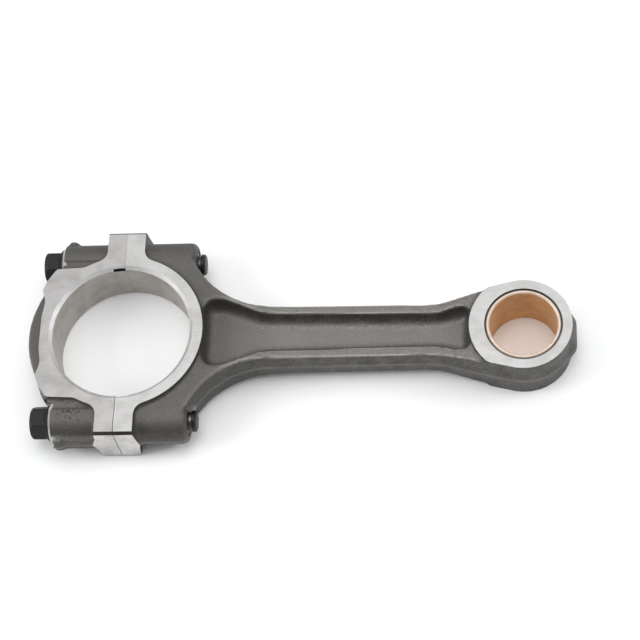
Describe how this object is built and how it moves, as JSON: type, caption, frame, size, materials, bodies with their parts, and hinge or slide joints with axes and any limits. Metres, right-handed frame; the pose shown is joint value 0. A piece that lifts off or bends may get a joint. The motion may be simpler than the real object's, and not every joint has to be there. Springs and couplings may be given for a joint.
{
  "type": "connecting rod",
  "caption": "Forged I-section connecting rod with a split big end, a bearing cap drawn off by its two cap bolts, and a bronze bush for the piston pin in the small end.",
  "frame": {"origin": "centre of the big-end bore, halfway through its width", "axes": "+X towards the small end, +Z along both bores, +Y towards the upper cap bolt; the rod lies flat on its lower machined faces"},
  "size_m": [0.2878, 0.1194, 0.03],
  "materials": {
    "forged_steel": "shot-blasted forging skin, with bright ground faces and bored holes",
    "bush_bronze": "rolled and bored bronze",
    "black_bolt_steel": "black oxide, rolled thread"
  },
  "bodies": {
    "rod": {"rod_body": "forged_steel", "small_end_bush": "bush_bronze"},
    "cap": {"bearing_cap": "forged_steel"},
    "upper_bolt": {"upper_cap_bolt": "black_bolt_steel"},
    "lower_bolt": {"lower_cap_bolt": "black_bolt_steel"}
  },
  "joints": [
    {"name": "cap_slide", "type": "slide", "parent": "rod", "child": "cap", "axis": [-1, 0, 0], "range_m": [0, 0.033]},
    {"name": "upper_bolt_turn", "type": "hinge", "parent": "cap", "child": "upper_bolt", "pos_m": [-0.0355, 0.0455, 0], "axis": [-1, 0, 0], "range_deg": [0, 9505]},
    {"name": "lower_bolt_turn", "type": "hinge", "parent": "cap", "child": "lower_bolt", "pos_m": [-0.0355, -0.0455, 0], "axis": [-1, 0, 0], "range_deg": [0, 9505]}
  ],
  "couplings": [
    {"joint": "upper_bolt_turn", "follows": "cap_slide", "rad_per_m": 5026.5},
    {"joint": "lower_bolt_turn", "follows": "cap_slide", "rad_per_m": 5026.5}
  ]
}
